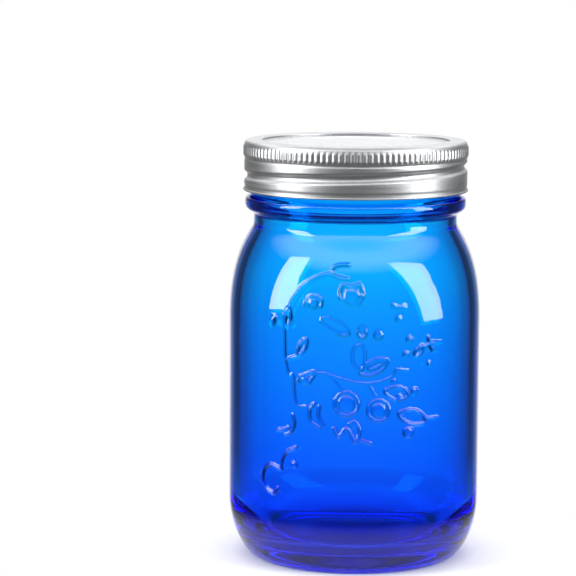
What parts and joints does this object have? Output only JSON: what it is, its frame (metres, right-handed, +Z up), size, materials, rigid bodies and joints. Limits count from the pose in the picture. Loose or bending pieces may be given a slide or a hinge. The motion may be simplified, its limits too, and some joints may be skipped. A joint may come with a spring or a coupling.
{
  "type": "mason jar",
  "caption": "Regular-mouth canning jar of blue glass with fruit embossing, closed by a tinplate disc with a sealing ring and a knurled screw band.",
  "frame": {"origin": "centre of the jar's resting ring, in the plane that it stands on", "axes": "+Z up along the jar's axis, embossed side towards -Y"},
  "size_m": [0.081, 0.0818, 0.135],
  "materials": {
    "blue_glass": "clear tinted glass, smooth and glossy",
    "tinplate": "satin tinplate",
    "sealing_compound": "matt moulded plastisol",
    "band_steel": "satin tin-plated steel"
  },
  "bodies": {
    "jar": {"glass_jar": "blue_glass"},
    "lid": {"lid_disc": "tinplate", "sealing_ring": "sealing_compound"},
    "band": {"screw_band": "band_steel"}
  },
  "joints": [
    {"name": "closure_lift", "type": "slide", "parent": "jar", "child": "lid", "axis": [0, 0, 1], "range_m": [0, 0.0254]},
    {"name": "band_turn", "type": "hinge", "parent": "lid", "child": "band", "pos_m": [0, 0, 0.127], "axis": [0, 0, 1], "range_deg": [0, 1440]}
  ],
  "couplings": [
    {"joint": "closure_lift", "follows": "band_turn", "m_per_rad": 0.0010106}
  ]
}
